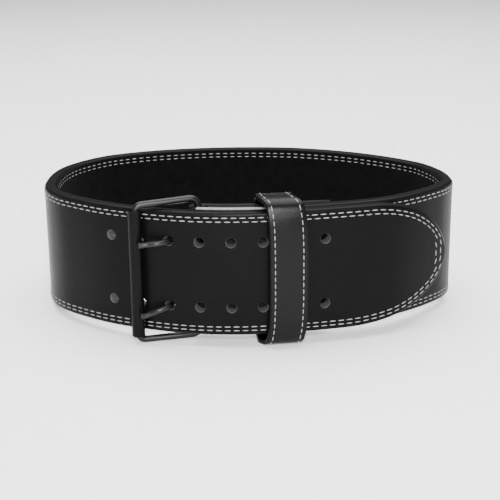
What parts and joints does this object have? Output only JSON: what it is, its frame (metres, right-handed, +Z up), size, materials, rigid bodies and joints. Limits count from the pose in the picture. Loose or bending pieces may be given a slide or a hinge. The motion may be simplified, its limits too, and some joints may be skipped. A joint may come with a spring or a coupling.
{
  "type": "weightlifting belt",
  "caption": "Wide leather weightlifting belt, buckled into an oval loop, with a roller buckle, two prongs, rows of adjusting holes, a keeper loop and a rounded free end.",
  "frame": {"origin": "middle of the lowest face of the box round the buckled belt, on the surface it rests on", "axes": "+Z up, -Y towards the buckle, +X towards the free end's tip"},
  "size_m": [0.345, 0.2472, 0.1206],
  "materials": {
    "black_leather": "smooth matte grain with painted edges and light grey stitching",
    "black_suede": "napped suede",
    "fold_leather": "smooth matte grain with one raw, light edge at the top",
    "black_metal": "satin black coat"
  },
  "bodies": {
    "root": {"strap": "black_leather", "suede_lining": "black_suede", "buckle_fold": "fold_leather", "buckle_frame": "black_metal", "buckle_roller": "black_metal", "prong_lower": "black_metal", "prong_upper": "black_metal", "keeper": "black_leather"}
  },
  "joints": []
}
